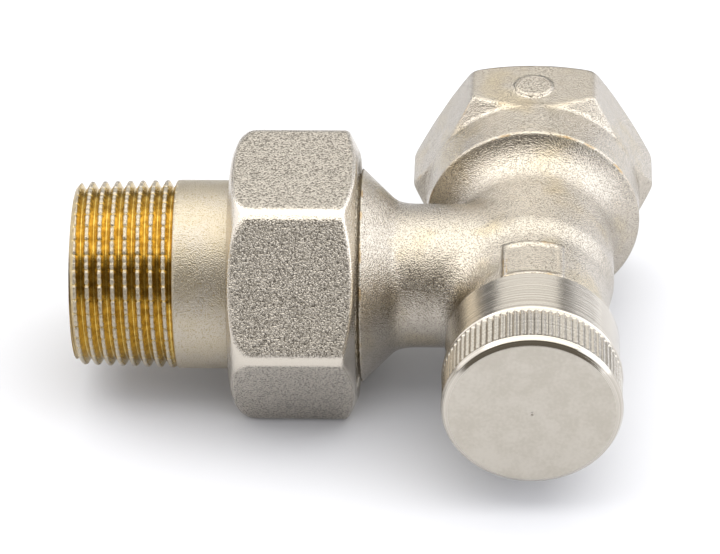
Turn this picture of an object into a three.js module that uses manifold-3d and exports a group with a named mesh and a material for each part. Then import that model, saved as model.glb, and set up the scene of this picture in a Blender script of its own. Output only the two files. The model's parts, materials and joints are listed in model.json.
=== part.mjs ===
// An angle lockshield (return) valve for a radiator, DN20, with a screw cap.
//
// All sizes are millimetres, +Z is up. The sub-parts are drawn about the point
// where the two axes cross: the tail runs along -X, the spindle and its cap
// along -Y, and the pipe socket opens towards +Y. The whole assembly is then
// moved so that the frame's origin is the centre of the pipe socket's mouth.
//
// Distances on the tail's axis are counted along +X. Distances on the spindle's
// axis are counted outwards, along -Y, so the pipe socket lies at negative ones.

import * as THREE from 'three';
import { mergeVertices } from 'three/addons/utils/BufferGeometryUtils.js';
import Module from 'manifold-3d';

const wasm = await Module();
wasm.setup();

// ---- driving dimensions -------------------------------------------------

const GAP = 0.3;                    // clearance between pieces that touch
const BODY_SIDES = 40;              // facets round the large turned shapes
const SMALL_SIDES = 24;             // facets round the pieces inside

// pipe socket, female thread Rp 3/4
const SOCKET_REACH = 31.9;          // axes' crossing to the socket's mouth
const SOCKET_FLATS = 31;
const SOCKET_CORNERS = 17.75;       // radius turned over the hexagon's corners
const SOCKET_BORE = 12.6;           // thread's mean radius
const SOCKET_FLOOR = 15;            // where the socket's thread ends
const HEX_START = 21;               // the hexagon's end on the chamber's side

// forged body
const COLLAR_RADIUS = 15.6;
const COLLAR_START = 13.9;
const FLARE_RADIUS = 6.9;           // hollow flare between the collar and the waist
const WAIST_RADIUS = 11.7;
const WAIST_END = 3;
const BOSS_RADIUS = 11;
const BOSS_END = 15.7;
const NECK_RADIUS = 10.35;
const NECK_START = -18.6;
const NECK_BORE = 7.8;
const CHAMBER_BORE = 8.2;
const SEAT_PLANE = 6;               // seat's face, towards the cone
const SEAT_BORE = 6.5;

// union between the body and the tailpiece, thread G 1
const UNION_RADIUS = 15.9;          // outer thread's mean radius
const UNION_ROOT = -24.7;           // where the body's cone starts
const UNION_FACE = -36.9;           // the body's end face inside the nut
const NUT_FLATS = 37;
const NUT_CORNERS = 21.1;
const NUT_BORE = UNION_RADIUS + GAP;
const NUT_END = -43.1;
const NUT_START = -24.9;
const NUT_LIP = -39.6;              // inner face of the lip behind the tailpiece's collar

// tailpiece, male thread R 3/4
const TAIL_END = -65.7;
const TAIL_RADIUS = 13.59;
const TAIL_BORE = 9.5;
const TAIL_INNER_END = -33;
const TAIL_COLLAR = 15.7;
const TAIL_CONE_LARGE = 14.2;
const TAIL_CONE_SMALL = 11;
const TAIL_CONE_START = -36.6;
const THREAD_PITCH = 1.814;
const THREAD_DEPTH = 1.16;
const THREAD_TAPER = 1 / 32;
const THREAD_CRESTS = 7;
const FIRST_CREST = 2.36;           // from the tailpiece's end
const FIRST_CREST_RADIUS = 13.22;

// cap, screwed on the boss with M 21 x 1.5
const CAP_BACK = 16;
const CAP_FACE = 32.2;
const CAP_FLOOR = 29.9;
const CAP_SKIRT = 12.3;
const CAP_KNURL = 12.67;
const CAP_KNURL_START = 24.7;
const CAP_CHAMFER = 1.05;
const BOSS_FACE = 27.8;
const BOSS_THREAD = 10.1;
const BOSS_GUIDE = 10.7;            // smooth land inside the cap's skirt
const GUIDE_END = 21.8;

// headwork, on the spindle's axis
const BONNET_TOP = 27.5;
const BONNET_SHOULDER = 15.8;
const BONNET_NOSE = 10.6;
const BONNET_THREAD = 8.6;
const BONNET_LAND = 7.9;
const STEM_BORE = 5.5;
const STEM_THREAD_BORE = 4.3;
const STEM_THREAD_TOP = 16;
const RETAINER_FROM = 26.4;
const RETAINER_TO = 27;
const SPINDLE_TOP = 24.3;
const SPINDLE_HEAD = 5.2;
const SPINDLE_HEAD_BOTTOM = 18.3;
const STEM_RING_WIDTH = 1.5;
const STEM_RINGS = [22.4, 20];      // the two grooves' middles
const KEY_FLATS = 5;
const KEY_DEPTH = 5;

// cone that closes the seat, drawn half open
const CONE_RADIUS = 7.3;
const CONE_TOP = 2.6;
const CONE_BOTTOM = -2.2;
const WASHER_RADIUS = 7.6;
const WASHER_BOTTOM = -4.15;
const PLATE_RADIUS = 4.8;
const PLATE_THICKNESS = 0.7;
const SCREW_HEAD = 2.7;
const SCREW_SHANK = 1.2;

const FINISHES = {
  nickel: { color: 0xcfc8ba, roughness: 0.42, metalness: 1 },
  polishedNickel: { color: 0xd8d3c8, roughness: 0.2, metalness: 1 },
  brass: { color: 0xc9a14a, roughness: 0.3, metalness: 1 },
  steel: { color: 0xb9bcc0, roughness: 0.3, metalness: 1 },
  rubber: { color: 0x1b1b1c, roughness: 0.8, metalness: 0 },
  fibre: { color: 0x8c2f22, roughness: 0.85, metalness: 0 },
};

// ---- helpers ------------------------------------------------------------

// Turns a closed three.js geometry into a solid that can be joined and cut.
function solid(geometry) {
  const bare = geometry.clone();
  bare.deleteAttribute('normal');
  bare.deleteAttribute('uv');
  const merged = mergeVertices(bare, 1e-4);
  const corners = merged.index.array;
  const kept = [];
  for (let i = 0; i < corners.length; i += 3) {
    const [a, b, c] = [corners[i], corners[i + 1], corners[i + 2]];
    if (a !== b && b !== c && c !== a) kept.push(a, b, c);
  }
  return new wasm.Manifold(new wasm.Mesh({
    numProp: 3,
    vertProperties: new Float32Array(merged.attributes.position.array),
    triVerts: new Uint32Array(kept),
  }));
}

// A named mesh made of a solid.
function piece(name, shape, finish) {
  const { vertProperties, triVerts } = shape.getMesh();
  const geometry = new THREE.BufferGeometry();
  geometry.setAttribute('position', new THREE.BufferAttribute(vertProperties, 3));
  geometry.setIndex(new THREE.BufferAttribute(triVerts, 1));
  geometry.computeVertexNormals();
  const mesh = new THREE.Mesh(geometry, new THREE.MeshStandardMaterial(FINISHES[finish]));
  mesh.name = name;
  return mesh;
}

function joined(...shapes) {
  return shapes.reduce((whole, next) => whole.add(next));
}

function without(shape, ...cutters) {
  return cutters.reduce((rest, cutter) => rest.subtract(cutter), shape);
}

// Spins an outline of [radius, distance] points, whose outside runs towards
// larger distances, about the 'tail' or the 'spindle' axis.
function turned(outline, axis, sides) {
  const points = outline.map(([radius, distance]) => new THREE.Vector2(radius, distance));
  const geometry = new THREE.LatheGeometry(points, sides);
  if (axis === 'tail') geometry.rotateZ(-Math.PI / 2);
  if (axis === 'spindle') geometry.rotateX(Math.PI);
  return solid(geometry);
}

function rod(radius, from, to, axis, sides) {
  return turned([[0, from], [radius, from], [radius, to], [0, to]], axis, sides);
}

function tube(inner, outer, from, to, axis, sides) {
  const section = [[inner, from], [outer, from], [outer, to], [inner, to], [inner, from]];
  return turned(section, axis, sides);
}

// A hexagonal bar with rounded corners and two of its flats level.
function hexBar(flats, round, from, to, axis) {
  const outline = new THREE.Shape();
  const centre = (flats / 2 - round) / Math.cos(Math.PI / 6);
  for (let i = 0; i < 6; i++) {
    const angle = i * Math.PI / 3;
    const x = centre * Math.cos(angle);
    const y = centre * Math.sin(angle);
    outline.absarc(x, y, round, angle - Math.PI / 6, angle + Math.PI / 6, false);
  }
  const settings = { depth: to - from, bevelEnabled: false, curveSegments: 3 };
  const geometry = new THREE.ExtrudeGeometry(outline, settings);
  geometry.translate(0, 0, from);
  if (axis === 'tail') geometry.rotateZ(Math.PI / 2).rotateY(Math.PI / 2);
  if (axis === 'spindle') geometry.rotateX(Math.PI / 2);
  return solid(geometry);
}

function block(size, centre) {
  const geometry = new THREE.BoxGeometry(...size);
  geometry.translate(...centre);
  return solid(geometry);
}

// An O-ring on the spindle's axis.
function ringSeal(ringRadius, wireRadius, distance) {
  const geometry = new THREE.TorusGeometry(ringRadius, wireRadius, 8, SMALL_SIDES);
  geometry.rotateX(Math.PI / 2);
  geometry.translate(0, -distance, 0);
  return solid(geometry);
}

// An open spring ring on the spindle's axis, with its gap towards +X.
function springRing(inner, outer, from, to, opening) {
  const ring = tube(inner, outer, from, to, 'spindle', SMALL_SIDES);
  const height = 2 * (to - from);
  const cutter = block([outer, height, opening], [outer, -(from + to) / 2, 0]);
  return without(ring, cutter);
}

// ---- forged body --------------------------------------------------------

// The flare is a hollow arc from the collar's front edge down to the waist.
function flareOutline(steps) {
  const rise = COLLAR_RADIUS - WAIST_RADIUS;
  const lean = Math.acos(1 - rise / FLARE_RADIUS);
  const waistStart = -COLLAR_START + FLARE_RADIUS * Math.sin(lean);
  const points = [];
  for (let i = 0; i <= steps; i++) {
    const angle = lean * (1 - i / steps);
    const radius = WAIST_RADIUS + FLARE_RADIUS * (1 - Math.cos(angle));
    points.push([radius, waistStart - FLARE_RADIUS * Math.sin(angle)]);
  }
  return points;
}

function bodyColumn() {
  return turned([
    [0, -SOCKET_REACH + 2],
    [SOCKET_FLATS / 2 - 0.2, -SOCKET_REACH + 2],
    [SOCKET_FLATS / 2 - 0.2, -HEX_START - 1],
    [COLLAR_RADIUS, -HEX_START],
    ...flareOutline(6),
    [WAIST_RADIUS, WAIST_END],
    [BOSS_RADIUS, WAIST_END + 2],
    [BOSS_RADIUS, BOSS_END],
    [BOSS_GUIDE, BOSS_END],
    [BOSS_GUIDE, GUIDE_END - GAP],
    [BOSS_THREAD, GUIDE_END - GAP],
    [BOSS_THREAD, BOSS_FACE - 0.6],
    [BOSS_THREAD - 0.6, BOSS_FACE],
    [0, BOSS_FACE],
  ], 'spindle', BODY_SIDES);
}

// The socket's hexagon, with its corners turned down at both ends.
function socketHexagon() {
  const bar = hexBar(SOCKET_FLATS, 0.8, -SOCKET_REACH, -HEX_START, 'spindle');
  const envelope = turned([
    [0, -SOCKET_REACH],
    [SOCKET_FLATS / 2, -SOCKET_REACH],
    [SOCKET_CORNERS, -SOCKET_REACH + 1.3],
    [SOCKET_CORNERS, -HEX_START - 2.4],
    [SOCKET_FLATS / 2, -HEX_START],
    [0, -HEX_START],
  ], 'spindle', BODY_SIDES);
  return bar.intersect(envelope);
}

function bodyBranch() {
  return turned([
    [0, UNION_FACE],
    [UNION_RADIUS, UNION_FACE],
    [UNION_RADIUS, UNION_ROOT],
    [15.4, UNION_ROOT + 0.4],
    [10.65, -19.4],
    [NECK_RADIUS, NECK_START],
    [NECK_RADIUS, 0],
    [0, 0],
  ], 'tail', BODY_SIDES);
}

// Blank cast pads: a bowed one on the boss, a round one on the hexagon.
function castPads() {
  const relief = 0.4;
  const plate = block([8.6, 8, 4], [0, -10.9, BOSS_RADIUS]);
  const bossPad = plate.intersect(rod(BOSS_RADIUS + relief, 6, BOSS_END - 0.2, 'spindle', BODY_SIDES));
  const disc = new THREE.CylinderGeometry(2.7, 2.9, 2 + relief, SMALL_SIDES);
  disc.rotateX(Math.PI / 2);
  disc.translate(0, 26, SOCKET_FLATS / 2 - 1 + relief / 2);
  return bossPad.add(solid(disc));
}

// The water's way through the body.
function bodyCutters() {
  const chamfer = 1.3;
  const overrun = 1;
  const socket = turned([
    [0, -SOCKET_REACH - overrun],
    [SOCKET_BORE + chamfer + overrun, -SOCKET_REACH - overrun],
    [SOCKET_BORE, -SOCKET_REACH + chamfer],
    [SOCKET_BORE, -SOCKET_FLOOR],
    [SEAT_BORE + 2, -SOCKET_FLOOR + 3.5],
    [SEAT_BORE, -SOCKET_FLOOR + 4.5],
    [SEAT_BORE, -SEAT_PLANE + overrun],
    [0, -SEAT_PLANE + overrun],
  ], 'spindle', BODY_SIDES);
  const chamber = turned([
    [0, -SEAT_PLANE],
    [CHAMBER_BORE, -SEAT_PLANE],
    [CHAMBER_BORE, BONNET_SHOULDER - GAP],
    [BONNET_THREAD + GAP, BONNET_SHOULDER - GAP],
    [BONNET_THREAD + GAP, BOSS_FACE + overrun],
    [0, BOSS_FACE + overrun],
  ], 'spindle', BODY_SIDES);
  const slope = (TAIL_CONE_LARGE - TAIL_CONE_SMALL) / (TAIL_INNER_END - TAIL_CONE_START);
  const coneRadius = (x) => TAIL_CONE_SMALL + 1.4 * GAP + slope * (TAIL_INNER_END - x);
  const branch = turned([
    [0, UNION_FACE - overrun],
    [coneRadius(UNION_FACE - overrun), UNION_FACE - overrun],
    [coneRadius(TAIL_INNER_END + GAP), TAIL_INNER_END + GAP],
    [NECK_BORE, TAIL_INNER_END + GAP],
    [NECK_BORE, 0],
    [0, 0],
  ], 'tail', BODY_SIDES);
  return [socket, chamber, branch];
}

function valveBody() {
  const forging = joined(bodyColumn(), socketHexagon(), bodyBranch(), castPads());
  return without(forging, ...bodyCutters());
}

// ---- union --------------------------------------------------------------

function threadOutline() {
  const points = [];
  for (let i = 0; i < THREAD_CRESTS; i++) {
    const along = FIRST_CREST + i * THREAD_PITCH;
    const crest = FIRST_CREST_RADIUS + i * THREAD_PITCH * THREAD_TAPER;
    points.push([crest - THREAD_DEPTH, TAIL_END + along - THREAD_PITCH / 2]);
    points.push([crest, TAIL_END + along]);
  }
  return points;
}

function tailpiece() {
  const threadEnd = TAIL_END + FIRST_CREST + (THREAD_CRESTS - 0.5) * THREAD_PITCH;
  const sleeve = turned([
    [TAIL_BORE, TAIL_END],
    [FIRST_CREST_RADIUS - THREAD_DEPTH, TAIL_END],
    ...threadOutline(),
    [TAIL_RADIUS - THREAD_DEPTH, threadEnd],
    [TAIL_RADIUS, threadEnd + 0.7],
    [TAIL_RADIUS, NUT_LIP + GAP],
    [TAIL_COLLAR, NUT_LIP + GAP],
    [TAIL_COLLAR, UNION_FACE - GAP],
    [TAIL_CONE_LARGE, UNION_FACE - GAP],
    [TAIL_CONE_LARGE, TAIL_CONE_START],
    [TAIL_CONE_SMALL, TAIL_INNER_END],
    [TAIL_BORE, TAIL_INNER_END],
    [TAIL_BORE, TAIL_END],
  ], 'tail', BODY_SIDES);
  const lugs = [-1, 1].map((side) => block([9, 2.4, 1.6], [-56, 0, side * (TAIL_BORE - 0.3)]));
  return joined(sleeve, ...lugs);
}

function unionNut() {
  const bar = hexBar(NUT_FLATS, 2.2, NUT_END, NUT_START, 'tail');
  const envelope = turned([
    [0, NUT_END],
    [18, NUT_END],
    [19.9, NUT_END + 1],
    [NUT_CORNERS, NUT_END + 2.9],
    [NUT_CORNERS, NUT_START - 1.6],
    [18.6, NUT_START],
    [0, NUT_START],
  ], 'tail', BODY_SIDES);
  const hole = turned([
    [0, NUT_END - 1],
    [TAIL_RADIUS + GAP, NUT_END - 1],
    [TAIL_RADIUS + GAP, NUT_LIP],
    [NUT_BORE, NUT_LIP],
    [NUT_BORE, NUT_START - 0.6],
    [NUT_BORE + 1.6, NUT_START + 1],
    [0, NUT_START + 1],
  ], 'tail', BODY_SIDES);
  return without(bar.intersect(envelope), hole);
}

// ---- cap ----------------------------------------------------------------

function capShell() {
  return turned([
    [BOSS_GUIDE + GAP, CAP_BACK],
    [CAP_SKIRT, CAP_BACK],
    [CAP_SKIRT, CAP_KNURL_START - 0.5],
    [CAP_KNURL, CAP_KNURL_START],
    [CAP_KNURL, CAP_FACE - CAP_CHAMFER],
    [CAP_KNURL - CAP_CHAMFER, CAP_FACE],
    [0, CAP_FACE],
    [0, CAP_FLOOR],
    [BOSS_THREAD + GAP, CAP_FLOOR],
    [BOSS_THREAD + GAP, GUIDE_END],
    [BOSS_GUIDE + GAP, GUIDE_END],
    [BOSS_GUIDE + GAP, CAP_BACK],
  ], 'spindle', BODY_SIDES);
}

function capSeal() {
  return rod(BOSS_THREAD, BOSS_FACE + GAP, CAP_FLOOR - GAP, 'spindle', BODY_SIDES);
}

// ---- headwork -----------------------------------------------------------

function bonnet() {
  const groove = 0.1;
  const sealGroove = 6.5;
  const sleeve = turned([
    [STEM_THREAD_BORE, BONNET_NOSE],
    [BONNET_LAND, BONNET_NOSE],
    [BONNET_LAND, 13],
    [sealGroove, 13],
    [sealGroove, 15],
    [BONNET_LAND, 15],
    [BONNET_LAND, BONNET_SHOULDER],
    [BONNET_THREAD, BONNET_SHOULDER],
    [BONNET_THREAD, BONNET_TOP],
    [STEM_BORE, BONNET_TOP],
    [STEM_BORE, RETAINER_TO + groove],
    [STEM_BORE + 0.7, RETAINER_TO + groove],
    [STEM_BORE + 0.7, RETAINER_FROM - groove],
    [STEM_BORE, RETAINER_FROM - groove],
    [STEM_BORE, STEM_THREAD_TOP],
    [STEM_THREAD_BORE, STEM_THREAD_TOP],
    [STEM_THREAD_BORE, BONNET_NOSE],
  ], 'spindle', SMALL_SIDES);
  const spannerSlot = block([2 * BONNET_THREAD + 1, 2, 2.4], [0, -BONNET_TOP, 0]);
  return without(sleeve, spannerSlot);
}

function spindle() {
  const groove = 4.1;
  const grooveOutline = STEM_RINGS.toReversed().flatMap((middle) => [
    [SPINDLE_HEAD, middle - STEM_RING_WIDTH / 2],
    [groove, middle - STEM_RING_WIDTH / 2],
    [groove, middle + STEM_RING_WIDTH / 2],
    [SPINDLE_HEAD, middle + STEM_RING_WIDTH / 2],
  ]);
  const stem = turned([
    [0, 0.2],
    [2.8, 0.2],
    [2.8, 1.2],
    [1.8, 1.2],
    [1.8, CONE_TOP + GAP],
    [3, CONE_TOP + GAP],
    [3, 8],
    [4, 8.6],
    [4, SPINDLE_HEAD_BOTTOM],
    [SPINDLE_HEAD, SPINDLE_HEAD_BOTTOM],
    ...grooveOutline,
    [SPINDLE_HEAD, SPINDLE_TOP],
    [0, SPINDLE_TOP],
  ], 'spindle', SMALL_SIDES);
  const key = hexBar(KEY_FLATS, 0.1, SPINDLE_TOP - KEY_DEPTH, SPINDLE_TOP + 1, 'spindle');
  return without(stem, key);
}

// ---- cone ---------------------------------------------------------------

function valveCone() {
  const screwHole = SCREW_SHANK + 0.25;
  const swivelBore = 3.2;
  const clipGroove = 3.9;
  return turned([
    [screwHole, CONE_BOTTOM],
    [CONE_RADIUS, CONE_BOTTOM],
    [CONE_RADIUS, 0.4],
    [5.2, CONE_TOP],
    [swivelBore, CONE_TOP],
    [swivelBore, 2.3],
    [clipGroove, 2.3],
    [clipGroove, 1.3],
    [swivelBore, 1.3],
    [swivelBore, -0.1],
    [0, -0.1],
    [0, -0.9],
    [screwHole, -0.9],
    [screwHole, CONE_BOTTOM],
  ], 'spindle', SMALL_SIDES);
}

function seatWasher() {
  return tube(1.8, WASHER_RADIUS, WASHER_BOTTOM, CONE_BOTTOM - GAP, 'spindle', SMALL_SIDES);
}

function washerPlate() {
  const top = WASHER_BOTTOM - GAP;
  return tube(1.5, PLATE_RADIUS, top - PLATE_THICKNESS, top, 'spindle', SMALL_SIDES);
}

function seatScrew() {
  const headTop = WASHER_BOTTOM - 2 * GAP - PLATE_THICKNESS;
  const headBottom = headTop - 1.5;
  const screw = turned([
    [0, headBottom],
    [SCREW_HEAD, headBottom],
    [SCREW_HEAD, headTop],
    [SCREW_SHANK, headTop],
    [SCREW_SHANK, -1.2],
    [0, -1.2],
  ], 'spindle', SMALL_SIDES);
  return without(screw, block([2 * SCREW_HEAD + 1, 1.4, 0.8], [0, -headBottom, 0]));
}

// ---- assembly -----------------------------------------------------------

const valve = new THREE.Group();
valve.add(
  piece('valve_body', valveBody(), 'nickel'),
  piece('tailpiece', tailpiece(), 'nickel'),
  piece('union_nut', unionNut(), 'nickel'),
  piece('cap_shell', capShell(), 'polishedNickel'),
  piece('cap_seal', capSeal(), 'fibre'),
  piece('bonnet', bonnet(), 'brass'),
  piece('bonnet_o_ring', ringSeal(7.3, 0.62, 14), 'rubber'),
  piece('retaining_ring', springRing(4.4, 5.9, RETAINER_FROM, RETAINER_TO, 2.4), 'steel'),
  piece('spindle', spindle(), 'brass'),
  piece('valve_cone', valveCone(), 'brass'),
  piece('cone_clip', springRing(2.1, 3.6, 1.5, 2.1, 1.6), 'steel'),
  piece('seat_washer', seatWasher(), 'rubber'),
  piece('washer_plate', washerPlate(), 'brass'),
  piece('seat_screw', seatScrew(), 'steel'),
);
STEM_RINGS.forEach((middle, i) => {
  const name = ['stem_o_ring_outer', 'stem_o_ring_inner'][i];
  valve.add(piece(name, ringSeal(4.72, 0.5, middle), 'rubber'));
});

valve.position.y = -SOCKET_REACH;

export default valve;
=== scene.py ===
"""Looks of an angle lockshield radiator valve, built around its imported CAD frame.

Shapes are worked out in millimetres about the point where the tail's axis and
the spindle's axis cross, and are moved into the frame, in metres, at the end.
Distances on the tail's axis run along +X. Distances on the spindle's axis run
outwards along -Y, so the pipe socket lies at negative ones.
"""

import json
import math

import bpy
import numpy as np
from mathutils import Matrix, Vector


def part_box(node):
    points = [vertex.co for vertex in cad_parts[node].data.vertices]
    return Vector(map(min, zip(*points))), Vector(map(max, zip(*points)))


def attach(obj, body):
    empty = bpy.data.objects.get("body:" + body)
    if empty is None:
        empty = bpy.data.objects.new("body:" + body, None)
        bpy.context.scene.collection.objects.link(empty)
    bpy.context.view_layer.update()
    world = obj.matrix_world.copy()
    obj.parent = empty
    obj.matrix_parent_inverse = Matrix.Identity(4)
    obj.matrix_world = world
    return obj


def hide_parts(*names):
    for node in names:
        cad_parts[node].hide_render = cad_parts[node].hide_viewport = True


MM = 0.001
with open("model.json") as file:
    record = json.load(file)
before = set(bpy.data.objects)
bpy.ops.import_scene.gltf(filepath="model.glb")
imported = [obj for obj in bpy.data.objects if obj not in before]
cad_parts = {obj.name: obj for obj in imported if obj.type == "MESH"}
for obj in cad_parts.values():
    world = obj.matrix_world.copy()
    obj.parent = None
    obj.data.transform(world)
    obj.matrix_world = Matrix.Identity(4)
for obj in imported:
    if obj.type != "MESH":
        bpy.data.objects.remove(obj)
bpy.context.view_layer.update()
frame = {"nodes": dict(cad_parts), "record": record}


def middle(node):
    """Centre of a node's box."""
    low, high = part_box(node)
    return (low + high) / 2


def span(node, axis):
    """Lowest and highest place of a node on one axis, in mm from the axes' crossing."""
    low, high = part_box(node)
    return (low[axis] - CROSSING[axis]) / MM, (high[axis] - CROSSING[axis]) / MM


CROSSING = Vector((middle("cap_shell").x, middle("union_nut").y, 0))

# ---- sizes taken from the frame ----------------------------------------

TAIL_END, TAIL_INNER_END = span("tailpiece", 0)
NUT_END, NUT_START = span("union_nut", 0)
NUT_FLAT = span("union_nut", 2)[1]
CAP_FACE = -span("cap_shell", 1)[0]
CAP_BACK = -span("cap_shell", 1)[1]
CAP_RADIUS = span("cap_shell", 2)[1]
SOCKET_MOUTH = -span("valve_body", 1)[1]
UNION_FACE = span("valve_body", 0)[0]
BOSS_FACE = -span("valve_body", 1)[0]

# ---- sizes of the forged and turned shapes -----------------------------

SOCKET_FLAT = 15.5
SOCKET_CORNER = 17.74
SOCKET_BORE = 13.2
SOCKET_BORE_END = -15
HEX_START = -21
COLLAR = 15.6
COLLAR_START = -13.9
FLARE = 6.9
WAIST = 11.7
BOSS = 10.95
BOSS_END = 15.7
BOSS_GUIDE = 10.7
BOSS_CORE = 9.4
GUIDE_END = 21.5
NECK = 10.35
NECK_BORE = 7.8
CHAMBER = 8.2
BONNET_BORE = 8.9
BONNET_SHOULDER = 15.5
SEAT_PLANE = -6
SEAT_BORE = 6.5
UNION_ROOT = -24.7
TAIL = 13.59
TAIL_BORE = 9.5
TAIL_COLLAR = 15.7
TAIL_THREAD = 13.22                        # radius of the pipe thread's first crest
TAIL_THREAD_END = -50.8
TAIL_COLLAR_START, TAIL_COLLAR_END = -39.3, -37.2
FIRST_CREST = TAIL_END + 2.36
PIPE_TAPER = 1 / 32
PIPE_DEPTH = 1.1
NOTCHES = 76                               # round each crest of the pipe thread
LUG_MIDDLE, LUG_HALF_LENGTH, LUG_RISE = -56, 4.5, 1.1
PIPE_PITCH = 1.814
UNION_PITCH = 2.309
CAP_PITCH = 1.5
NUT_CORNER = 21.06
NUT_SHOULDER = -39.6
NUT_ROOT = 16.7
CAP_SKIRT = 12.3
CAP_FLOOR = 29.9
RIBS_START, RIBS_END = 24.82, CAP_FACE - 1.4
RIB_CREST = CAP_RADIUS - 0.13
KNURL_RIBS = 80
NET_STEP = 0.3      # grid size of the forged skins

# core, root and crest radii of the threads on and in the body, the nut and the cap
UNION_MALE, UNION_FEMALE = (14.4, 15.1, 16.3), (16.9, 16.6, 15.45)
CAP_MALE, CAP_FEMALE = (9.1, 9.5, 10.25), (10.6, 10.45, 9.8)
PIPE_FEMALE = (13.6, 13.3, 12.1)


# ---- outlines -----------------------------------------------------------


def rounded(points, steps=5):
    """A line through [radius, distance, fillet] points, with an arc at each filleted corner."""
    line = []
    for i, (r, d, *fillet) in enumerate(points):
        size = fillet[0] if fillet else 0
        if not size or i in (0, len(points) - 1):
            line.append((r, d))
            continue
        here = np.array((r, d), float)
        before = np.array(points[i - 1][:2], float) - here
        after = np.array(points[i + 1][:2], float) - here
        reach = min(size, 0.48 * np.linalg.norm(before), 0.48 * np.linalg.norm(after))
        a = here + before / np.linalg.norm(before) * reach
        b = here + after / np.linalg.norm(after) * reach
        for t in np.linspace(0, 1, steps + 1):
            line.append(tuple((1 - t) ** 2 * a + 2 * t * (1 - t) * here + t * t * b))
    return line


def spaced(line, step):
    """The same polyline with points no further than step apart."""
    out = [line[0]]
    for a, b in zip(line, line[1:]):
        parts = max(1, math.ceil(math.dist(a, b) / step))
        out += [tuple(np.array(a) + (np.array(b) - a) * k / parts) for k in range(1, parts + 1)]
    return out


# ---- signed distances ---------------------------------------------------


def section_distance(radius, along, outline):
    """Signed distance to a closed outline in the (radius, distance) half plane."""
    best = np.full(radius.shape, np.inf)
    inside = np.zeros(radius.shape, bool)
    for (r0, d0), (r1, d1) in zip(outline, outline[1:] + outline[:1]):
        er, ed = r1 - r0, d1 - d0
        length = er * er + ed * ed
        if length == 0:
            continue
        pr, pd = radius - r0, along - d0
        if not (r0 == 0 and r1 == 0):
            t = np.clip((pr * er + pd * ed) / length, 0, 1)
            best = np.minimum(best, (pr - t * er) ** 2 + (pd - t * ed) ** 2)
        if ed:
            crossed = (d0 > along) != (d1 > along)
            inside ^= crossed & (radius < er * pd / ed + r0)
    return np.where(inside, -1, 1) * np.sqrt(best)


def blend(a, b, size):
    """Smooth union of two distances."""
    h = np.maximum(size - np.abs(a - b), 0)
    return np.minimum(a, b) - h * h / (4 * size)


def carve(a, b, size):
    """Distance a with shape b cut out of it, the edge eased by size."""
    return -blend(-a, b, size)


def common(a, b, size):
    """Smooth intersection of two distances."""
    return -blend(-a, -b, size)


def hexagon_distance(u, v, flat, corner):
    """A hexagon with flats at +-v and rounded corners."""
    u, v = np.abs(u), np.abs(v)
    inner = flat - corner
    half = inner / math.sqrt(3)
    k, s = math.cos(math.pi / 6), math.sin(math.pi / 6)
    slanted, along = u * k + v * s, u * s - v * k
    level = np.hypot(u - np.clip(u, -half, half), v - inner)
    lean = np.hypot(along - np.clip(along, -half, half), slanted - inner)
    side = np.maximum(slanted, v)
    return np.where(side <= inner, side - inner, np.minimum(level, lean)) - corner


# ---- meshing ------------------------------------------------------------


def surface_net(distance, low, high, step, coarse=6):
    """Vertices and quads of the zero surface of a distance function."""
    counts = [math.ceil((h - l) / step / coarse) * coarse + coarse for l, h in zip(low, high)]
    axes = [l - step + step * np.arange(n) for l, n in zip(low, counts)]
    centres = [a.reshape(-1, coarse).mean(1) for a in axes]
    blocks = np.stack(np.meshgrid(*centres, indexing="ij"), -1)
    rough = distance(blocks.reshape(-1, 3)).reshape(blocks.shape[:3])
    values = np.repeat(np.repeat(np.repeat(rough, coarse, 0), coarse, 1), coarse, 2)
    near = np.abs(values) < coarse * step * 1.9
    index = np.argwhere(near)
    points = np.stack([axes[k][index[:, k]] for k in range(3)], -1)
    values[near] = distance(points)

    solid = values < 0
    cells = tuple(n - 1 for n in values.shape)
    corners = [(i, j, k) for i in (0, 1) for j in (0, 1) for k in (0, 1)]

    def corner(array, c):
        return array[c[0]:c[0] + cells[0], c[1]:c[1] + cells[1], c[2]:c[2] + cells[2]]

    filled = sum(corner(solid, c).astype(np.int8) for c in corners)
    active = (filled > 0) & (filled < 8)
    where = np.argwhere(active)
    number = np.full(cells, -1, np.int64)
    number[active] = np.arange(len(where))

    total = np.zeros((len(where), 3))
    hits = np.zeros(len(where))
    at = {c: values[tuple((where + c).T)] for c in corners}
    for a in corners:
        for axis in range(3):
            if a[axis]:
                continue
            b = tuple(1 if n == axis else a[n] for n in range(3))
            crossing = (at[a] < 0) != (at[b] < 0)
            t = np.where(crossing, at[a] / np.where(crossing, at[a] - at[b], 1), 0)
            place = np.array(a, float) + t[:, None] * (np.array(b) - a)
            total += place * crossing[:, None]
            hits += crossing
    local = total / hits[:, None]
    origin = np.array([a[0] for a in axes])
    vertices = origin + (where + local) * step

    quads = []
    for axis in range(3):
        u, v = (axis + 1) % 3, (axis + 2) % 3
        first = [slice(None)] * 3
        second = [slice(None)] * 3
        first[axis], second[axis] = slice(0, -1), slice(1, None)
        change = solid[tuple(first)] != solid[tuple(second)]
        edges = np.argwhere(change)
        edges = edges[(edges[:, u] > 0) & (edges[:, v] > 0)]
        edges = edges[(edges[:, u] < cells[u]) & (edges[:, v] < cells[v])]
        ring = []
        for du, dv in ((1, 1), (0, 1), (0, 0), (1, 0)):
            cell = edges.copy()
            cell[:, u] -= du
            cell[:, v] -= dv
            ring.append(number[tuple(cell.T)])
        quad = np.stack(ring, -1)
        outward = solid[tuple(edges.T)]
        quads.append(np.where(outward[:, None], quad, quad[:, ::-1]))
    return vertices, np.concatenate(quads)


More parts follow.
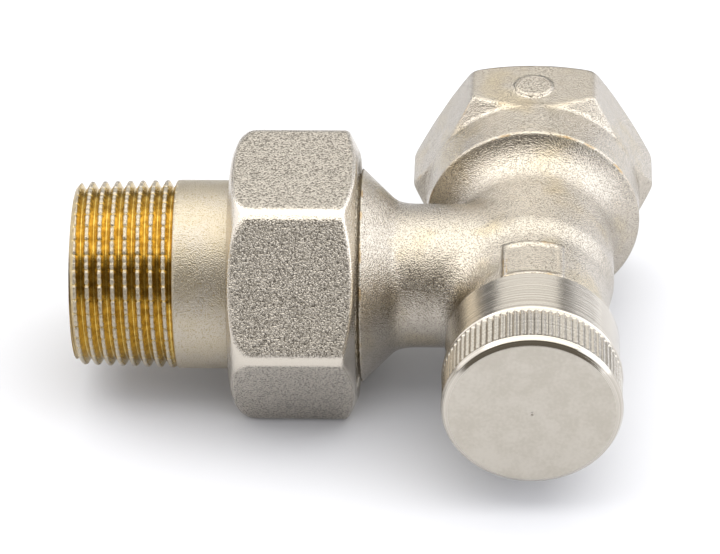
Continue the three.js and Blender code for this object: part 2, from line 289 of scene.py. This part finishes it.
def gradient(distance, points, reach=0.02):
    """Outward direction and convexity of the surface at points."""
    shifts = [np.array([reach if k == n else 0 for k in range(3)]) for n in range(3)]
    ahead = [distance(points + s) for s in shifts]
    behind = [distance(points - s) for s in shifts]
    slope = np.stack([(a - b) / (2 * reach) for a, b in zip(ahead, behind)], -1)
    return slope, sum(ahead) + sum(behind)


def settle(distance, vertices, quads, passes=3):
    """Evens out the quads, keeping every vertex on the zero surface."""
    edges = np.concatenate([quads[:, [k, (k + 1) % 4]] for k in range(4)])
    for step in range(passes + 1):
        if step:
            total = np.zeros_like(vertices)
            count = np.zeros(len(vertices))
            np.add.at(total, edges[:, 0], vertices[edges[:, 1]])
            np.add.at(count, edges[:, 0], 1)
            vertices = 0.5 * vertices + 0.5 * total / np.maximum(count, 1)[:, None]
        for _ in range(2):
            slope, _ = gradient(distance, vertices)
            value = distance(vertices)
            size = np.maximum((slope ** 2).sum(1), 0.05)
            move = -slope * (value / size)[:, None]
            length = np.linalg.norm(move, axis=1)
            vertices = vertices + move * np.minimum(1, 0.3 / np.maximum(length, 1e-9))[:, None]
    return vertices


def convexity(distance, vertices, reach=0.35):
    """0 on flat or hollow places, towards 1 on outer edges."""
    _, around = gradient(distance, vertices, reach)
    bend = (around - 6 * distance(vertices)) / reach ** 2
    return np.clip(bend * 0.5 - 0.1, 0, 1)


def turned_shell(outline, axis, around, reshape=None):
    """A closed shell spun from [radius, distance] points whose outside runs up.

    The outline either starts and ends on the axis or is a closed loop. reshape
    turns (radius, distance, angle) arrays into the final radius.
    """
    line = np.array(outline, float)
    on_axis = line[0][0] == 0 and line[-1][0] == 0
    if not on_axis and np.allclose(line[0], line[-1]):
        line = line[:-1]
    ring = line[1:-1] if on_axis else line
    angle = np.arange(around) * 2 * math.pi / around
    radius = np.repeat(ring[:, :1], around, 1)
    along = np.repeat(ring[:, 1:], around, 1)
    turn = np.repeat(angle[None], len(ring), 0)
    if reshape:
        radius = reshape(radius, along, turn)
    first, second = radius * np.cos(turn), radius * np.sin(turn)
    order = [along, first, second] if axis == "tail" else [first, -along, second]
    points = np.stack(order, -1).reshape(-1, 3)
    rows = len(ring)
    row = np.arange(rows - 1 if on_axis else rows)
    i, j = np.meshgrid(row, np.arange(around), indexing="ij")
    below = i * around
    above = (i + 1) % rows * around
    right = (j + 1) % around
    quads = np.stack([below + j, below + right, above + right, above + j], -1)
    quads = quads.reshape(-1, 4)
    faces = [tuple(q) for q in quads]
    if on_axis:
        ends = [line[0][1], line[-1][1]]
        poles = [(d, 0, 0) if axis == "tail" else (0, -d, 0) for d in ends]
        points = np.concatenate([points, poles])
        start, end = len(points) - 2, len(points) - 1
        top = (rows - 1) * around
        for k in range(around):
            n = (k + 1) % around
            faces.append((start, n, k))
            faces.append((end, top + k, top + n))
    return points, faces


def net_shell(distance, low, high):
    """The evened skin of a distance function, as points and quads."""
    vertices, quads = surface_net(distance, low, high, NET_STEP)
    return settle(distance, vertices, quads), quads


def make_piece(name, shells, marks, body, node, material):
    """One object from (points, faces) shells in mm.

    Marks are values per point, in the order of the shells; points past a mark's
    end get 0.
    """
    mesh = bpy.data.meshes.new(name)
    points, faces, offset = [], [], 0
    for shell in shells:
        points.append(np.asarray(shell[0], float))
        faces += [tuple(int(n) + offset for n in face) for face in shell[1]]
        offset += len(shell[0])
    points = np.concatenate(points) * MM + np.array(CROSSING)
    mesh.from_pydata(points.tolist(), [], faces)
    mesh.validate()
    for title, values in marks.items():
        layer = mesh.attributes.new(title, "FLOAT", "POINT")
        padded = np.zeros(len(points), np.float32)
        padded[:len(values)] = values
        layer.data.foreach_set("value", padded)
    mesh.shade_smooth()
    mesh.materials.append(material)
    piece = bpy.data.objects.new(name, mesh)
    bpy.context.scene.collection.objects.link(piece)
    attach(piece, body)
    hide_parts(node)


# ---- camera and light ---------------------------------------------------


def add_camera():
    """Looks down at the valve from in front of its cap."""
    distance, elevation, azimuth, roll = 600, 35.99, 2.25, 0.41
    aim = (-24.83, 0.1)                    # middle of the view, right and down of the crossing
    width = 103.6                          # what the view spans at that distance
    sensor = 36
    a, b, c = (math.radians(n) for n in (elevation, azimuth, roll))
    base = Matrix(((1, 0, 0), (0, 0, -1), (0, 1, 0)))
    turn = (Matrix.Rotation(c, 3, "Z") @ Matrix.Rotation(b, 3, "Y")
            @ Matrix.Rotation(a, 3, "X") @ base).transposed()
    place = CROSSING - turn @ Vector((-aim[0], -aim[1], distance)) * MM
    camera = bpy.data.objects.new("camera", bpy.data.cameras.new("camera"))
    camera.data.sensor_width = sensor
    camera.data.lens = distance / width * sensor
    camera.data.clip_start, camera.data.clip_end = 0.01, 20
    flip = Matrix(((1, 0, 0), (0, -1, 0), (0, 0, -1)))
    camera.matrix_world = Matrix.Translation(place) @ (turn @ flip).to_4x4()
    bpy.context.scene.collection.objects.link(camera)
    bpy.context.scene.camera = camera


def add_panel(name, azimuth, elevation, distance, size, radiance, colour):
    """A soft box facing the valve. Azimuth 0 is behind the viewer, 90 is at the right."""
    a, e = math.radians(azimuth), math.radians(elevation)
    way = Vector((math.sin(a) * math.cos(e), -math.cos(a) * math.cos(e), math.sin(e)))
    light = bpy.data.lights.new(name, "AREA")
    light.shape = "RECTANGLE"
    light.size, light.size_y = size
    light.energy = radiance * math.pi * size[0] * size[1]
    light.color = colour
    panel = bpy.data.objects.new(name, light)
    panel.location = CROSSING + way * distance
    panel.rotation_mode = "QUATERNION"
    panel.rotation_quaternion = (-way).to_track_quat("-Z", "Y")
    bpy.context.scene.collection.objects.link(panel)
    return panel


def add_world():
    """A grey room, bright behind the valve and dark behind the viewer."""
    world = bpy.data.worlds.new("room")
    bpy.context.scene.world = world
    world.use_nodes = True
    tree = world.node_tree
    where = tree.nodes.new("ShaderNodeTexCoord")
    dot = tree.nodes.new("ShaderNodeVectorMath")
    dot.operation = "DOT_PRODUCT"
    dot.inputs[1].default_value = (0.15, -0.95, 0.25)
    ramp = tree.nodes.new("ShaderNodeValToRGB")
    ramp.color_ramp.interpolation = "EASE"
    light, dark = ramp.color_ramp.elements
    light.position, light.color = 0.3, (0.27, 0.265, 0.26, 1)
    dark.position, dark.color = 0.7, (0.21, 0.19, 0.16, 1)
    scale = tree.nodes.new("ShaderNodeMapRange")
    scale.inputs["From Min"].default_value = -1
    tree.links.new(where.outputs["Generated"], dot.inputs[0])
    tree.links.new(dot.outputs["Value"], scale.inputs["Value"])
    tree.links.new(scale.outputs[0], ramp.inputs[0])
    tree.links.new(ramp.outputs[0], tree.nodes["Background"].inputs["Color"])


def add_light():
    """Soft boxes above, behind and beside the valve, and a fill for the floor."""
    add_panel("top_panel", 180, 84, 0.8, (1.8, 1.12), 2.25, (1, 0.985, 0.95))
    add_panel("back_panel", 184, 33, 0.9, (0.8, 0.5), 0.95, (1, 0.99, 0.97))
    add_panel("right_panel", 94, 14, 0.9, (1.6, 0.9), 2.2, (0.95, 0.98, 1.05))
    add_panel("corner_panel", 143, 12, 0.9, (0.34, 0.6), 0.55, (0.97, 0.98, 1.02))
    add_panel("left_panel", -100, 27, 0.9, (1.2, 0.8), 1.4, (0.98, 0.98, 1.01))
    fill = add_panel("floor_fill", 25, 52, 1.0, (1.6, 1.2), 2.5, (0.98, 0.99, 1.04))
    fill.visible_glossy = False            # lifts the floor's shadows and leaves the metal alone


def add_floor():
    """A pale floor that the nut's lower flat rests on."""
    half = 3
    level = CROSSING.z - NUT_FLAT * MM
    mesh = bpy.data.meshes.new("floor")
    corners = [(half * x, half * y, level) for x, y in ((-1, -1), (1, -1), (1, 1), (-1, 1))]
    mesh.from_pydata(corners, [], [(0, 1, 2, 3)])
    floor = bpy.data.objects.new("floor", mesh)
    bpy.context.scene.collection.objects.link(floor)
    paint = Paint("floor_paint", (0.52, 0.525, 0.54), 0.9, 0)
    paint.set("Specular IOR Level", 0.1)
    mesh.materials.append(paint.material)


# ---- materials ----------------------------------------------------------


class Paint:
    """A material made of shader nodes, whose patterns are sized in mm."""

    def __init__(self, name, colour, roughness, metallic=1):
        self.material = bpy.data.materials.new(name)
        self.material.use_nodes = True
        self.tree = self.material.node_tree
        self.shader = self.tree.nodes["Principled BSDF"]
        self.place = None
        self.set("Base Color", (*colour, 1))
        self.set("Roughness", roughness)
        self.set("Metallic", metallic)

    def set(self, title, value):
        """Puts a number, a colour or another node's output on one of the shader's inputs."""
        self.feed(self.shader.inputs[title], value)

    def feed(self, socket, value):
        """Links another node's output to a socket, or stores a plain value on it."""
        if isinstance(value, bpy.types.NodeSocket):
            self.tree.links.new(value, socket)
        else:
            socket.default_value = value

    def node(self, kind, inputs=(), **settings):
        """A new shader node with its settings and inputs filled in."""
        made = self.tree.nodes.new("ShaderNode" + kind)
        for key, value in settings.items():
            setattr(made, key, value)
        for key, value in dict(inputs).items():
            self.feed(made.inputs[key], value)
        return made

    def mm(self):
        """Place on the piece, in mm."""
        if not self.place:
            source = self.node("TexCoord").outputs["Object"]
            scaled = self.node("VectorMath", {0: source, "Scale": 1 / MM}, operation="SCALE")
            self.place = scaled.outputs[0]
        return self.place

    def noise(self, size, detail=2, place=None, sharp=0.5):
        """Cloudy pattern whose coarsest lumps are size mm apart."""
        inputs = {"Vector": place or self.mm(), "Scale": 1 / size,
                  "Detail": detail, "Roughness": sharp}
        return self.node("TexNoise", inputs).outputs[0]

    def math(self, operation, a, b=0):
        """One arithmetic step on numbers or outputs."""
        return self.node("Math", {0: a, 1: b}, operation=operation).outputs[0]

    def ramp(self, value, low, high, first=0, last=1):
        """Eases from first to last as the value goes from low to high."""
        inputs = {"Value": value, "From Min": low, "From Max": high,
                  "To Min": first, "To Max": last}
        return self.node("MapRange", inputs, interpolation_type="SMOOTHSTEP").outputs[0]

    def mix(self, share, first, second):
        """The first colour, replaced by the second as share goes from 0 to 1."""
        made = self.node("Mix", data_type="RGBA")
        for key, value in ((0, share), (6, first), (7, second)):
            self.feed(made.inputs[key], (*value, 1) if isinstance(value, tuple) else value)
        return made.outputs[2]

    def mark(self, title):
        """A value stored on the piece's mesh."""
        return self.node("Attribute", attribute_name=title).outputs["Fac"]

    def bump(self, height, depth, under=None):
        """Relief of a given depth in mm; under is a bump to lay it on."""
        inputs = {"Height": height, "Distance": depth * MM, "Strength": 1}
        if under:
            inputs["Normal"] = under
        return self.node("Bump", inputs).outputs[0]


NICKEL = (0.53, 0.487, 0.42)
GOLDEN = (0.54, 0.475, 0.36)
BRASS = (0.7, 0.5, 0.2)


def forged_nickel():
    """Shot-blasted, plated forging: fine grain, cloudy golden tint, tarnish on some edges."""
    paint = Paint("forged_nickel_paint", NICKEL, 0.25)
    grain = paint.noise(0.17, 1)
    tint = paint.mix(paint.ramp(paint.noise(8, 2), 0.5, 0.7), NICKEL, GOLDEN)
    tint = paint.mix(paint.ramp(grain, 0.32, 0.5, 0.8, 0), tint, (0.2, 0.17, 0.135))
    patches = paint.ramp(paint.noise(4), 0.56, 0.66)
    worn = paint.math("MULTIPLY", paint.ramp(paint.mark("edge"), 0.3, 0.8), patches)
    tint = paint.mix(paint.math("MULTIPLY", worn, 0.7), tint, (0.45, 0.32, 0.16))
    cut = paint.mark("cut")
    paint.set("Base Color", paint.mix(cut, tint, BRASS))
    paint.set("Roughness", paint.ramp(paint.noise(1.3), 0.3, 0.7, 0.17, 0.27))
    fine = paint.math("MULTIPLY", grain, paint.ramp(cut, 0, 1, 1, 0.15))
    paint.set("Normal", paint.bump(fine, 0.1, paint.bump(paint.noise(3), 0.02)))
    return paint.material


def nut_nickel():
    """Coarse, leathery blasting on the flats, smooth and brighter on the rounded corners."""
    paint = Paint("nut_nickel_paint", NICKEL, 0.28)
    flat = paint.mark("flat")
    grain = paint.noise(0.23, 1)
    pits = paint.ramp(grain, 0.36, 0.56, 0.9, 0)
    dull = paint.mix(pits, (0.55, 0.508, 0.445), (0.17, 0.153, 0.13))
    paint.set("Base Color", paint.mix(flat, (0.6, 0.553, 0.48), dull))
    paint.set("Roughness", paint.ramp(flat, 0, 1, 0.24, 0.3))
    fine = paint.math("MULTIPLY", grain, paint.ramp(flat, 0, 1, 0.25, 1))
    paint.set("Normal", paint.bump(fine, 0.21, paint.bump(paint.noise(2.5), 0.03)))
    return paint.material


def tail_nickel():
    """Plated sleeve, with its thread cut down to polished brass between the crests."""
    paint = Paint("tail_nickel_paint", NICKEL, 0.28)
    cut = paint.mark("cut")
    grain = paint.noise(0.18, 1)
    clouds = paint.ramp(paint.noise(5), 0.4, 0.65)
    plated = paint.mix(clouds, (0.51, 0.455, 0.36), (0.5, 0.455, 0.385))
    plated = paint.mix(paint.ramp(grain, 0.3, 0.5, 0.8, 0), plated, (0.34, 0.27, 0.15))
    streaks = paint.ramp(paint.noise(0.9), 0.35, 0.7)
    gold = paint.mix(streaks, (0.62, 0.45, 0.135), (0.42, 0.28, 0.07))
    paint.set("Base Color", paint.mix(cut, plated, gold))
    paint.set("Roughness", paint.ramp(cut, 0, 1, 0.38, 0.22))
    relief = paint.math("MULTIPLY", grain, paint.ramp(cut, 0, 1, 1, 0.06))
    paint.set("Normal", paint.bump(relief, 0.1))
    return paint.material


def turned_lines(paint, size):
    """Fine grooves round the spindle's axis, on its outside and on its faces."""
    split = paint.node("SeparateXYZ", {0: paint.mm()})
    squares = [paint.math("MULTIPLY", split.outputs[n], split.outputs[n]) for n in (0, 2)]
    across = paint.math("SQRT", paint.math("ADD", *squares))
    line = paint.node("CombineXYZ", {0: across, 1: split.outputs[1]}).outputs[0]
    return paint.noise(size, 3, line, 0.7)


def cap_nickel():
    """Turned and polished cap: mirror-like skirt and chamfer, satin face."""
    paint = Paint("cap_nickel_paint", NICKEL, 0.18)
    face = paint.mark("face")
    lines = turned_lines(paint, 0.2)
    tint = paint.mix(paint.ramp(lines, 0.35, 0.65), (0.62, 0.58, 0.515), (0.44, 0.405, 0.35))
    broad = paint.math("MULTIPLY", paint.noise(3, 4), 1.5)
    smudge = paint.ramp(paint.math("ADD", paint.noise(0.5, 3), broad), 0.9, 1.6)
    mottle = paint.mix(smudge, (0.46, 0.425, 0.365), (0.52, 0.485, 0.425))
    paint.set("Base Color", paint.mix(face, tint, mottle))
    paint.set("Roughness", paint.ramp(face, 0, 1, 0.11, 0.3))
    relief = paint.math("MULTIPLY", lines, paint.ramp(face, 0, 1, 1, 0.3))
    haze = paint.bump(paint.math("MULTIPLY", paint.noise(0.3, 3), face), 0.01)
    paint.set("Normal", paint.bump(relief, 0.03, haze))
    return paint.material


def turned_metal(name, colour, roughness):
    """Bare turned metal with fine lines round the spindle's axis."""
    paint = Paint(name, colour, roughness)
    lines = turned_lines(paint, 0.25)
    paint.set("Roughness", paint.ramp(lines, 0.3, 0.7, roughness, roughness + 0.15))
    paint.set("Normal", paint.bump(lines, 0.01))
    return paint.material


def soft_stuff(name, colour, roughness, size):
    """Matt rubber or pressed fibre with a faint mottle."""
    paint = Paint(name, colour, roughness, 0)
    speckle = paint.noise(size, 3)
    darker = tuple(0.7 * c for c in colour)
    paint.set("Base Color", paint.mix(paint.ramp(speckle, 0.35, 0.65), darker, colour))
    paint.set("Normal", paint.bump(speckle, 0.01))
    return paint.material


# ---- valve body ---------------------------------------------------------


def body_column_outline():
    """Everything round the spindle's axis: socket core, collar, flare, waist, boss."""
    points = [(0, SOCKET_MOUTH + 2), (SOCKET_FLAT - 0.4, SOCKET_MOUTH + 2),
              (SOCKET_FLAT - 0.4, HEX_START - 1.4), (COLLAR, HEX_START, 0.8)]
    lean = math.acos(1 - (COLLAR - WAIST) / FLARE)
    waist_start = COLLAR_START + FLARE * math.sin(lean)
    for angle in np.linspace(lean, 0, 10):
        r = WAIST + FLARE * (1 - math.cos(angle))
        points.append((r, waist_start - FLARE * math.sin(angle), 0.25 if angle == lean else 0))
    points += [(WAIST, 2, 0.8), (BOSS, 4.9, 0.8), (BOSS - 0.05, BOSS_END, 0.2),
               (BOSS_GUIDE, BOSS_END + 0.1), (BOSS_GUIDE, GUIDE_END, 0.2),
               (BOSS_CORE, GUIDE_END + 0.4), (BOSS_CORE, BOSS_FACE, 0.3), (0, BOSS_FACE)]
    return rounded(points)


def body_branch_outline():
    """Everything round the tail's axis: union spigot, cone and neck."""
    return rounded([(0, UNION_FACE + 0.2), (14.6, UNION_FACE + 0.2), (14.6, UNION_ROOT + 0.1),
                    (15.5, UNION_ROOT + 0.2, 0.3), (10.7, -19.5, 1.6), (NECK, -17.5, 1.5),
                    (NECK, 0), (0, 0)])


def socket_envelope_outline():
    """Chamfers the ends of the socket's hexagon."""
    return rounded([(0, SOCKET_MOUTH), (SOCKET_FLAT - 0.1, SOCKET_MOUTH, 0.4),
                    (SOCKET_CORNER, SOCKET_MOUTH + 1.4, 0.6),
                    (SOCKET_CORNER, HEX_START - 2.2, 0.5), (SOCKET_FLAT, HEX_START + 0.1, 0.3),
                    (0, HEX_START + 0.1)])


COLUMN = body_column_outline()
BRANCH = body_branch_outline()
SOCKET_ENVELOPE = socket_envelope_outline()
SOCKET_HOLE = [(0, SOCKET_MOUTH - 2), (SOCKET_BORE + 2.6, SOCKET_MOUTH - 2),
               (SOCKET_BORE, SOCKET_MOUTH + 0.6), (SOCKET_BORE, SOCKET_BORE_END), (8.5, -11.5),
               (SEAT_BORE, -10.5), (SEAT_BORE, SEAT_PLANE + 1), (0, SEAT_PLANE + 1)]
CHAMBER_HOLE = [(0, SEAT_PLANE), (CHAMBER, SEAT_PLANE), (CHAMBER, BONNET_SHOULDER),
                (BONNET_BORE, BONNET_SHOULDER), (BONNET_BORE, BOSS_FACE + 2), (0, BOSS_FACE + 2)]
BRANCH_HOLE = [(0, UNION_FACE - 1), (15.5, UNION_FACE - 1), (11.2, TAIL_INNER_END + 0.3),
               (NECK_BORE, TAIL_INNER_END + 0.3), (NECK_BORE, 0), (0, 0)]


def pads_distance(x, y, z):
    """A bowed plate with a raised rim on the boss and a round disc on the hexagon, both blank."""
    plate = np.maximum(np.abs(x) - 4.3, np.abs(y + 10.9) - 4)
    rise = 0.42 - 0.24 * np.clip(-(plate + 0.7) / 0.25, 0, 1)
    plate = common(plate, np.hypot(x, z) - BOSS - rise, 0.15)
    disc = common(np.hypot(x, y - 26) - 2.8, z - SOCKET_FLAT - 0.4, 0.2)
    return np.maximum(np.minimum(plate, disc), 5 - z)


def body_distance(p):
    """Column and branch blended, with the hexagon and pads on and the bores cut out."""
    x, y, z = p.T
    spindle, tail = np.hypot(x, z), np.hypot(y, z)
    shape = section_distance(spindle, -y, COLUMN)
    shape = blend(shape, section_distance(tail, x, BRANCH), 1.2 + 2.6 * np.clip(-y / 8, 0, 1))
    bar = hexagon_distance(x, z, SOCKET_FLAT, 0.5)
    bar = common(bar, section_distance(spindle, -y, SOCKET_ENVELOPE), 0.25)
    shape = blend(shape, bar, 0.5)
    shape = blend(shape, pads_distance(x, y, z), 0.2)
    for hole in (SOCKET_HOLE, CHAMBER_HOLE):
        shape = carve(shape, section_distance(spindle, -y, hole), 0.25)
    return carve(shape, section_distance(tail, x, BRANCH_HOLE), 0.25)


def thread_height(along, turn, pitch, crest=0.1, root=0.1):
    """0 in a right-hand thread's root, 1 on its crest.

    Crest and root are the shares of the pitch that are flat.
    """
    phase = (along / pitch - turn / (2 * math.pi)) % 1
    fall = 2 * np.minimum(phase, 1 - phase)
    return np.clip((1 - root - fall) / (1 - root - crest), 0, 1)


def thread_shell(radii, start, end, pitch, axis, rows_a_turn=12, around=180):
    """A right-hand threaded sleeve, threaded inside when its crest is nearer the axis."""
    core, root, crest = radii
    rows = round((end - start) / pitch * rows_a_turn)
    face = [(crest, d) for d in np.linspace(start, end, rows)]
    back = [(core, end), (core, start)]
    outline = face + back if crest > root else back[::-1] + face[::-1]

    def reshape(radius, along, turn):
        height = thread_height(along, turn, pitch)
        fade = np.clip(np.minimum(along - start, end - along) / (0.5 * pitch), 0, 1)
        return np.where(radius == crest, root + (crest - root) * height * fade, radius)

    return turned_shell(outline, axis, around, reshape)


def make_body():
    """The forging's skin, with its union, cap and socket threads."""
    low = (UNION_FACE - 0.5, -BOSS_FACE - 0.5, -SOCKET_CORNER - 0.5)
    high = (SOCKET_CORNER + 0.5, -SOCKET_MOUTH + 0.5, SOCKET_CORNER + 0.5)
    points, quads = net_shell(body_distance, low, high)
    spindle = np.hypot(points[:, 0], points[:, 2])
    bored = np.abs(section_distance(spindle, -points[:, 1], SOCKET_HOLE)) < 0.1
    marks = {"edge": convexity(body_distance, points), "cut": bored}
    shells = [(points, quads),
              thread_shell(UNION_MALE, UNION_FACE, UNION_ROOT - 0.6, UNION_PITCH, "tail"),
              thread_shell(CAP_MALE, GUIDE_END + 0.4, BOSS_FACE, CAP_PITCH, "spindle"),
              thread_shell(PIPE_FEMALE, SOCKET_MOUTH + 0.9, SOCKET_BORE_END - 0.6,
                           PIPE_PITCH, "spindle")]
    make_piece("forged_body", shells, marks,
               "body", "valve_body", forged_nickel())


# ---- union nut ----------------------------------------------------------

NUT_ENVELOPE = rounded([(0, NUT_END), (17.5, NUT_END, 0.3), (19.8, NUT_END + 1, 0.8),
                        (NUT_CORNER, NUT_END + 2.7, 1.2), (NUT_CORNER, NUT_START - 1.7, 0.6),
                        (18.7, NUT_START - 0.5, 0.4), (17.6, NUT_START, 0.3), (0, NUT_START)])
NUT_HOLE = [(0, NUT_END - 1), (TAIL + 0.35, NUT_END - 1), (TAIL + 0.35, NUT_SHOULDER),
            (NUT_ROOT, NUT_SHOULDER), (NUT_ROOT, NUT_START - 0.4),
            (NUT_ROOT + 1, NUT_START + 0.6), (0, NUT_START + 0.6)]


def nut_distance(p):
    """A hexagon bar with chamfered ends and its hole."""
    x, y, z = p.T
    radius = np.hypot(y, z)
    bar = hexagon_distance(y, z, NUT_FLAT, 2.2)
    bar = common(bar, section_distance(radius, x, NUT_ENVELOPE), 0.5)
    return carve(bar, section_distance(radius, x, NUT_HOLE), 0.3)


def make_nut():
    """The nut's skin and thread; its flats are marked apart from its corners."""
    low = (NUT_END - 0.5, -22, -19)
    high = (NUT_START + 0.5, 22, 19)
    points, quads = net_shell(nut_distance, low, high)
    thread = thread_shell(UNION_FEMALE, NUT_SHOULDER + 0.8, NUT_START - 0.8, UNION_PITCH, "tail")
    turns = np.radians(np.arange(0, 360, 60))
    reach = np.max(points[:, 1:2] * np.sin(turns) + points[:, 2:3] * np.cos(turns), axis=1)
    flat = np.clip((reach - NUT_FLAT + 0.14) / 0.1, 0, 1)
    make_piece("forged_nut", [(points, quads), thread], {"flat": flat},
               "nut", "union_nut", nut_nickel())


# ---- tailpiece ----------------------------------------------------------


def tail_crest(along):
    """Radius of the taper thread's crests."""
    return TAIL_THREAD + (along - FIRST_CREST) * PIPE_TAPER


def tail_outline():
    """Threaded end, plain sleeve, collar, sealing cone and bore."""
    threaded = rounded([(TAIL_BORE, TAIL_END), (12.4, TAIL_END, 0.2), (13.25, TAIL_END + 0.8, 0.2),
                        (13.55, TAIL_THREAD_END)])
    sleeve = rounded([(TAIL, TAIL_THREAD_END + 0.1), (TAIL, TAIL_COLLAR_START, 0.3),
                      (TAIL_COLLAR, TAIL_COLLAR_START, 0.3), (TAIL_COLLAR, TAIL_COLLAR_END, 0.3),
                      (14.2, TAIL_COLLAR_END), (14.2, TAIL_COLLAR_END + 0.6, 0.3),
                      (11, TAIL_INNER_END, 0.3), (TAIL_BORE, TAIL_INNER_END, 0.3)])
    bore = [(TAIL_BORE, TAIL_INNER_END + 0.5), (TAIL_BORE, TAIL_END)]
    return spaced(threaded, 0.13) + spaced(sleeve, 0.6) + spaced(bore, 0.5)[1:-1]


def tail_reshape(radius, along, turn):
    """Cuts the pipe thread and the notches along its crest, and raises two lugs in the bore."""
    height = thread_height(along - FIRST_CREST + PIPE_PITCH / 4, turn, PIPE_PITCH, 0.2, 0.08)
    fade = np.clip((TAIL_THREAD_END - along) / 0.7, 0, 1)
    wave = np.cos(turn * NOTCHES / 2)
    notch = 0.08 * np.abs(wave) ** 5 + 0.14 * np.maximum(wave, 0) ** 5
    notch = notch * np.clip(height * 2 - 1, 0, 1)
    thread = tail_crest(along) - PIPE_DEPTH * (1 - height) * fade - notch
    zone = (along > TAIL_END + 0.02) & (along < TAIL_THREAD_END + 0.05) & (radius > 11.5)
    radius = np.where(zone, np.minimum(radius, thread), radius)
    beside = np.clip((np.abs(np.cos(turn)) * 9.2 - 9.05) / 0.1, 0, 1)
    lug = beside * np.clip((LUG_HALF_LENGTH - np.abs(along - LUG_MIDDLE)) / 0.4, 0, 1)
    return np.where(np.abs(radius - TAIL_BORE) < 0.01, radius - LUG_RISE * lug, radius)


def make_tail():
    """The tailpiece, marked where its thread is cut through the plating."""
    around = NOTCHES * 8
    points, faces = turned_shell(tail_outline(), "tail", around, tail_reshape)
    x, radius = points[:, 0], np.hypot(points[:, 1], points[:, 2])
    depth = tail_crest(x) - radius
    flanks = np.clip((depth - 0.16) / 0.1, 0, 1) * (x < TAIL_THREAD_END + 0.2)
    cut = np.where(x < TAIL_END + 0.7, 0.5, flanks)
    make_piece("threaded_tail", [(points, faces)], {"cut": cut},
               "tail", "tailpiece", tail_nickel())


# ---- cap ----------------------------------------------------------------


def cap_outline():
    """Bore, skirt, plain ring, ribs, two-step chamfer and face with its centre mark."""
    root, mouth = 10.45, 11.05
    inside = [(0, CAP_FLOOR), (root, CAP_FLOOR), (root, 21.8), (mouth, 21.8), (mouth, CAP_BACK)]
    outside = rounded([(mouth, CAP_BACK), (CAP_SKIRT - 0.15, CAP_BACK, 0.1),
                       (CAP_SKIRT, CAP_BACK + 0.2, 0.1), (CAP_SKIRT, 23.7, 0.12),
                       (CAP_RADIUS, 24.05, 0.15), (CAP_RADIUS, 24.5, 0.1),
                       (RIB_CREST, 24.75, 0.05), (RIB_CREST, RIBS_START), (RIB_CREST, 24.9),
                       (RIB_CREST, RIBS_END, 0.05), (CAP_RADIUS - 0.02, CAP_FACE - 1.2, 0.08),
                       (CAP_SKIRT, CAP_FACE - 0.48, 0.1), (11.66, CAP_FACE - 0.04, 0.08),
                       (11.5, CAP_FACE, 0.05), (0.6, CAP_FACE)])
    return inside + spaced(outside, 0.2)[1:] + [(0.17, CAP_FACE), (0, CAP_FACE - 0.25)]


def cap_reshape(radius, along, turn):
    """Straight rounded ribs between two plain rings."""
    groove = np.abs(np.cos(turn * KNURL_RIBS / 2)) ** 2
    length = np.clip((along - RIBS_START) / 0.08, 0, 1) * np.clip((RIBS_END - along) / 0.4, 0, 1)
    knurled = (along > 24.7) & (along < CAP_FACE - 1.3) & (radius > CAP_SKIRT - 0.1)
    return np.where(knurled, radius - 0.27 * groove * length, radius)


def make_cap():
    """The screw cap, marked on its flat face, with its thread inside."""
    around = KNURL_RIBS * 10
    points, faces = turned_shell(cap_outline(), "spindle", around, cap_reshape)
    thread = thread_shell(CAP_FEMALE, GUIDE_END + 0.4, BOSS_FACE + 0.8, CAP_PITCH, "spindle")
    face = -points[:, 1] > CAP_FACE - 0.05
    make_piece("turned_cap", [(points, faces), thread], {"face": face},
               "cap", "cap_shell", cap_nickel())


# ---- pieces inside ------------------------------------------------------


def finish_inside():
    """Gives the frame's own pieces inside the valve their materials."""
    finishes = {
        "turned_brass": turned_metal("turned_brass_paint", (0.8, 0.58, 0.25), 0.25),
        "spring_steel": turned_metal("spring_steel_paint", (0.56, 0.57, 0.59), 0.3),
        "screw_steel": turned_metal("screw_steel_paint", (0.62, 0.63, 0.65), 0.25),
        "rubber_seal": soft_stuff("rubber_seal_paint", (0.03, 0.03, 0.032), 0.7, 0.4),
        "fibre_seal": soft_stuff("fibre_seal_paint", (0.42, 0.1, 0.06), 0.85, 0.25),
    }
    for part in frame["record"]["subparts"]:
        if part["material_slot"] in finishes:
            mesh = frame["nodes"][part["node"]].data
            mesh.materials.clear()
            mesh.materials.append(finishes[part["material_slot"]])


# ---- scene --------------------------------------------------------------

add_camera()
add_world()
add_light()
add_floor()
bpy.context.scene.view_settings.view_transform = "Standard"

make_body()
make_nut()
make_tail()
make_cap()
finish_inside()
